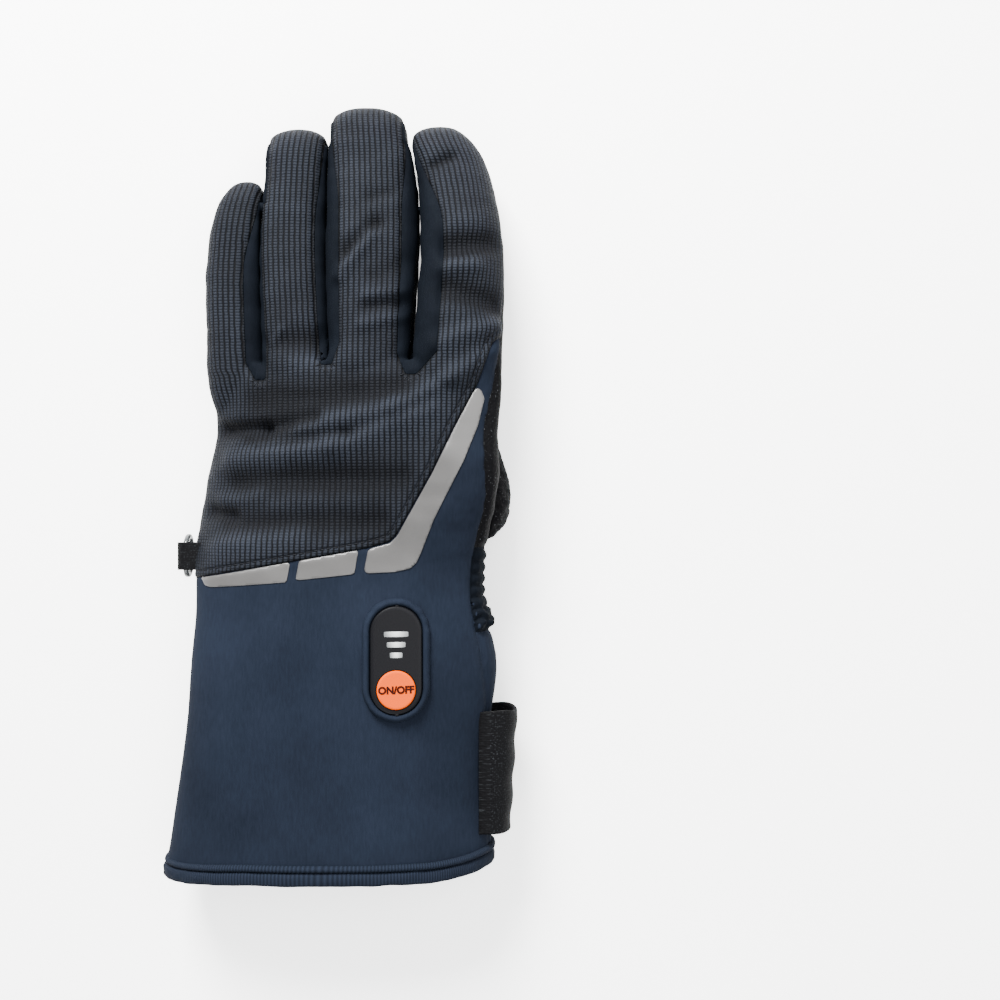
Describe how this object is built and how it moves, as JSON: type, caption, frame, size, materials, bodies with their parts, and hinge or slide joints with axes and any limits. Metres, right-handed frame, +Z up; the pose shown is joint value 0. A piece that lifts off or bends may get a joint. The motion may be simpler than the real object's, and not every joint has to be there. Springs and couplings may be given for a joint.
{
  "type": "heated glove",
  "caption": "Left heated winter glove with a ribbed back, smooth gauntlet cuff, round power button, side strap loop and small clip, lying palm down.",
  "frame": {"origin": "under the middle of the glove, on the surface that it lies on", "axes": "+Z up from the surface, +Y from the cuff towards the fingertips, +X towards the thumb's side"},
  "size_m": [0.1416, 0.314, 0.0468],
  "materials": {
    "ribbed_fabric": "charcoal waffle rib knit with a slight sheen",
    "softshell": "smooth matte navy softshell",
    "stretch_fabric": "plain dark stretch cloth",
    "palm_fabric": "black grained grip cloth with light specks",
    "binding_fabric": "navy binding rolled over the edge, gathered in fine ribs",
    "reflective_film": "grey reflective transfer film",
    "controller_plastic": "dark grey moulded plastic, satin",
    "light_bar": "clear white light windows",
    "button_plastic": "orange silicone push button",
    "webbing": "black woven polyester webbing",
    "clip_plastic": "smoky grey translucent plastic"
  },
  "bodies": {
    "glove": {"hand_back": "ribbed_fabric", "fourchette_little_ring": "stretch_fabric", "fourchette_ring_middle": "stretch_fabric", "fourchette_middle_index": "stretch_fabric", "palm_panel": "palm_fabric", "thumb": "palm_fabric", "cuff_back": "softshell", "wrist_elastic": "stretch_fabric", "cuff_palm": "softshell", "hem_piping": "softshell", "hem_binding": "binding_fabric", "reflector_long": "reflective_film", "reflector_middle": "reflective_film", "reflector_side": "reflective_film", "controller_welt": "softshell", "controller_housing": "controller_plastic", "led_bar_1": "light_bar", "led_bar_2": "light_bar", "led_bar_3": "light_bar", "wrist_strap": "webbing", "clip_tab": "webbing", "side_clip": "clip_plastic", "pull_tab": "webbing"},
    "button": {"power_button": "button_plastic"}
  },
  "joints": [
    {"name": "button_press", "type": "slide", "parent": "glove", "child": "button", "axis": [-0.1014, -0.0442, -0.9939], "range_m": [0, 0.0008], "stiffness_N_per_m": 1500}
  ]
}
